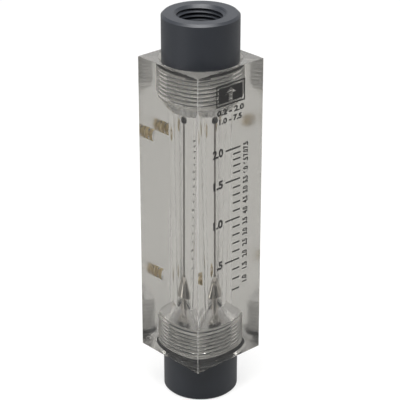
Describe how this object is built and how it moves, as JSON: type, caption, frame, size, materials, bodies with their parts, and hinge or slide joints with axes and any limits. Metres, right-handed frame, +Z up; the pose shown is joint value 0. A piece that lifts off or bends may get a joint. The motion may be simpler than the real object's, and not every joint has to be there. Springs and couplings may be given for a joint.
{
  "type": "rotameter",
  "caption": "Variable-area flow meter: clear square flow body with a tapered bore, a guided float, printed scale and threaded plastic adapters at both ends.",
  "frame": {"origin": "centre of the inlet adapter's end face, on which the meter stands", "axes": "+Z up along the flow, from the inlet adapter to the outlet adapter; the scale face looks along -Y and the panel face with the inserts along +Y"},
  "size_m": [0.0382, 0.0382, 0.1807],
  "materials": {
    "acrylic": "clear polished",
    "grey_pvc": "turned, satin",
    "seal_rubber": "matt",
    "stainless_steel": "turned",
    "brass": "machined"
  },
  "bodies": {
    "meter": {"flow_body": "acrylic", "inlet_adapter": "grey_pvc", "outlet_adapter": "grey_pvc", "inlet_seal_ring": "seal_rubber", "outlet_seal_ring": "seal_rubber", "inlet_rod_holder": "grey_pvc", "outlet_rod_holder": "grey_pvc", "inlet_retaining_ring": "stainless_steel", "outlet_retaining_ring": "stainless_steel", "guide_rod": "stainless_steel", "lower_bumper_ring": "seal_rubber", "upper_bumper_ring": "seal_rubber", "lower_insert": "brass", "upper_left_insert": "brass", "upper_right_insert": "brass"},
    "float": {"float": "stainless_steel"}
  },
  "joints": [
    {"name": "float_slide", "type": "slide", "parent": "meter", "child": "float", "axis": [0, 0, 1], "range_m": [0, 0.0742]}
  ]
}
